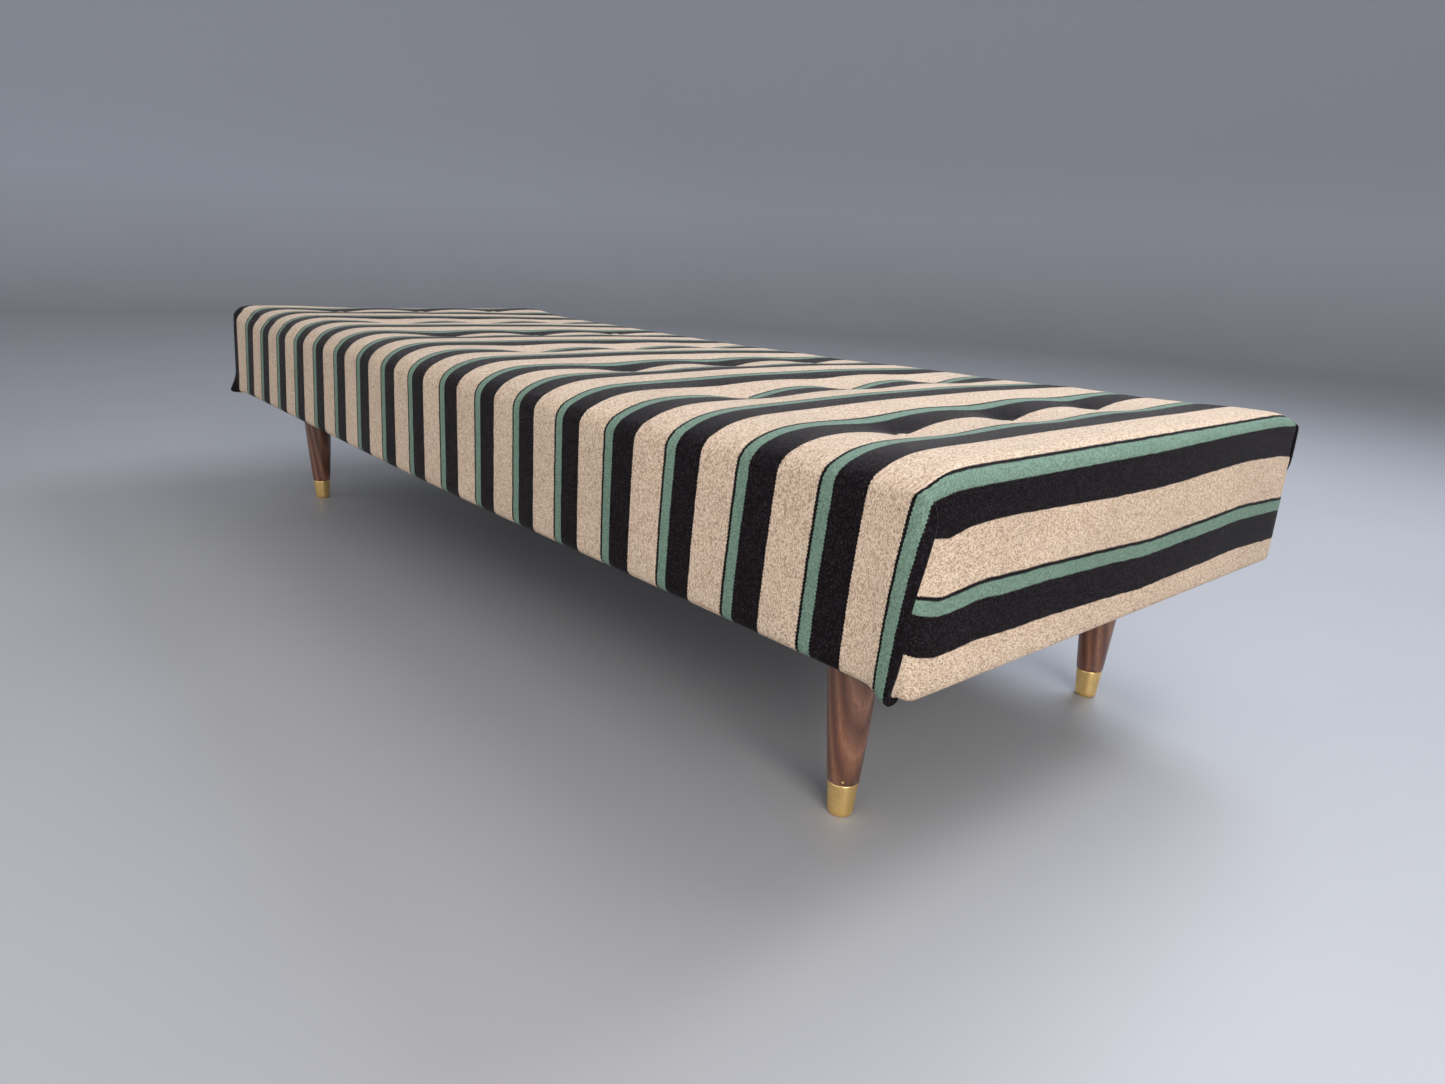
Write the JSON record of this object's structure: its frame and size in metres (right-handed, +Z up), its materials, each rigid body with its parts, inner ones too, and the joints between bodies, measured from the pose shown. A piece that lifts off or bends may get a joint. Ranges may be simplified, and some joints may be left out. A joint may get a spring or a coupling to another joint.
{
  "type": "daybed",
  "caption": "Low box daybed with a sprung, button-tufted body in striped wool on tapered round wooden legs with brass ferrules.",
  "frame": {"origin": "on the floor, under the middle of the bed's rectangle", "axes": "+Z up; +X along the bed's length; the long front side faces -Y"},
  "size_m": [1.9, 0.745, 0.429],
  "materials": {
    "striped_wool": "coarse woven wool with stripes of beige, black and green; matt",
    "button_wool": "the same wool, drawn over a button",
    "cotton_wadding": "soft cotton felt",
    "hair_stuffing": "rubberised curled hair",
    "hessian_cloth": "open plain weave of jute",
    "dust_cloth_weave": "thin dark cotton",
    "frame_pine": "sawn pine, unfinished",
    "spring_steel": "drawn spring wire, dull",
    "walnut": "dark walnut, satin lacquer, lightly worn",
    "brass": "aged brass, brushed round, tarnished near the rims",
    "bolt_steel": "zinc-plated steel"
  },
  "bodies": {
    "root": {"button_row1_1": "button_wool", "button_row1_2": "button_wool", "button_row1_3": "button_wool", "button_row2_1": "button_wool", "button_row2_2": "button_wool", "button_row2_3": "button_wool", "button_row3_1": "button_wool", "button_row3_2": "button_wool", "button_row3_3": "button_wool", "button_row4_1": "button_wool", "button_row4_2": "button_wool", "button_row4_3": "button_wool", "button_row5_1": "button_wool", "button_row5_2": "button_wool", "button_row5_3": "button_wool", "button_row6_1": "button_wool", "button_row6_2": "button_wool", "button_row6_3": "button_wool", "button_row7_1": "button_wool", "button_row7_2": "button_wool", "button_row7_3": "button_wool", "corner_block_back_left": "frame_pine", "corner_block_back_right": "frame_pine", "corner_block_front_left": "frame_pine", "corner_block_front_right": "frame_pine", "dust_cloth": "dust_cloth_weave", "edge_wire": "spring_steel", "ferrule_back_left": "brass", "ferrule_back_right": "brass", "ferrule_front_left": "brass", "ferrule_front_right": "brass", "ferrule_nail_back_left": "brass", "ferrule_nail_back_right": "brass", "ferrule_nail_front_left": "brass", "ferrule_nail_front_right": "brass", "hair_pad": "hair_stuffing", "hanger_bolt_back_left": "bolt_steel", "hanger_bolt_back_right": "bolt_steel", "hanger_bolt_front_left": "bolt_steel", "hanger_bolt_front_right": "bolt_steel", "hessian": "hessian_cloth", "leg_back_left": "walnut", "leg_back_right": "walnut", "leg_bearer_left": "frame_pine", "leg_bearer_right": "frame_pine", "leg_front_left": "walnut", "leg_front_right": "walnut", "rail_back": "frame_pine", "rail_front": "frame_pine", "rail_left_end": "frame_pine", "rail_right_end": "frame_pine", "slat_1": "frame_pine", "slat_2": "frame_pine", "slat_3": "frame_pine", "slat_4": "frame_pine", "spring_row_1": "spring_steel", "spring_row_2": "spring_steel", "spring_row_3": "spring_steel", "striped_cover": "striped_wool", "wadding": "cotton_wadding"}
  },
  "joints": []
}
